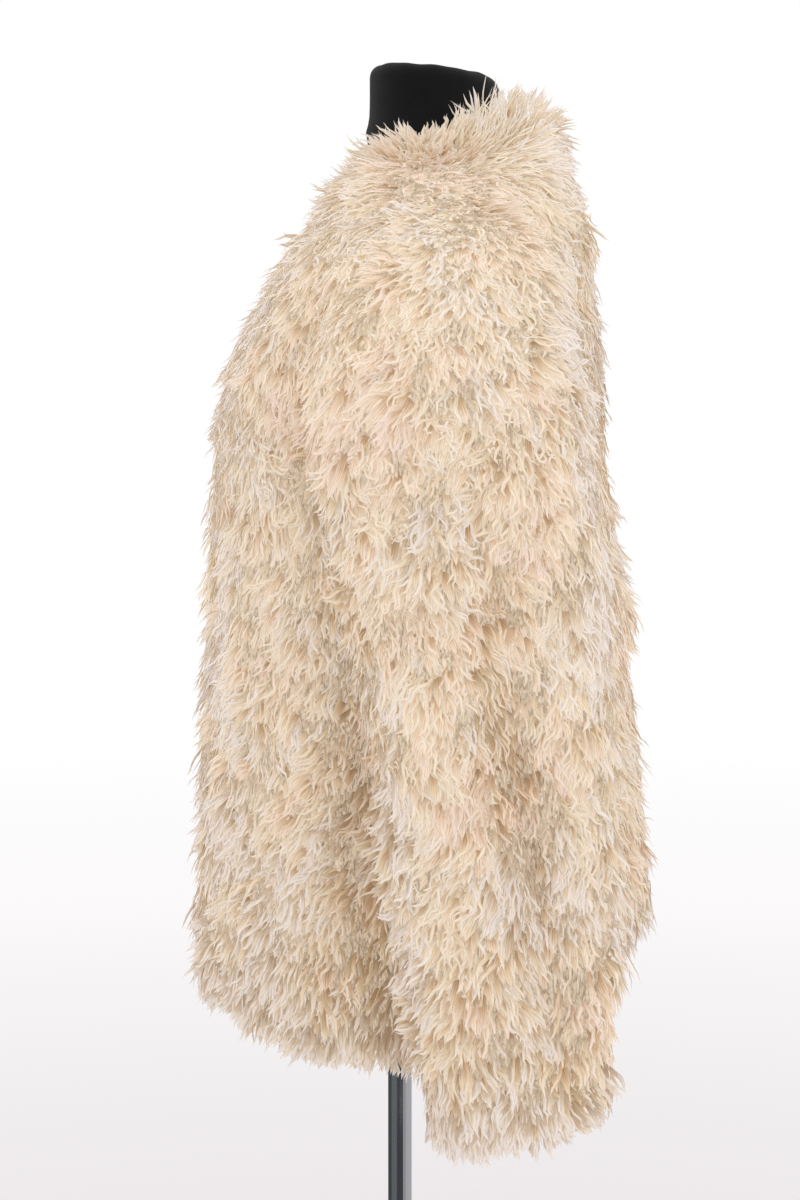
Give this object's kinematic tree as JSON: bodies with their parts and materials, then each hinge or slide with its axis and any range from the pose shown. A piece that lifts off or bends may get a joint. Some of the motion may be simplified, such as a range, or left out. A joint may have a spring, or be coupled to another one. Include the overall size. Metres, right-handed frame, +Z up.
{
  "type": "shaggy pile coat on a dress form",
  "caption": "Hip-length collarless coat of long cream shaggy pile, worn by a black limbless dress form on a chrome pole stand.",
  "frame": {"origin": "centre of the flat underside of the stand's base, on the pole's axis", "axes": "+Z up along the pole; the coat faces -Y, and the wearer's left is +X"},
  "size_m": [0.6165, 0.3416, 1.4138],
  "materials": {
    "cream_pile": "matte",
    "black_jersey": "matte",
    "black_plastic": "satin",
    "chrome_tube": "polished",
    "base_steel": "satin"
  },
  "bodies": {
    "root": {"front_left": "cream_pile", "front_right": "cream_pile", "back": "cream_pile", "sleeve_left": "cream_pile", "sleeve_right": "cream_pile", "form_torso": "black_jersey", "form_socket": "black_plastic", "stand_pole": "chrome_tube", "stand_base": "base_steel"}
  },
  "joints": []
}
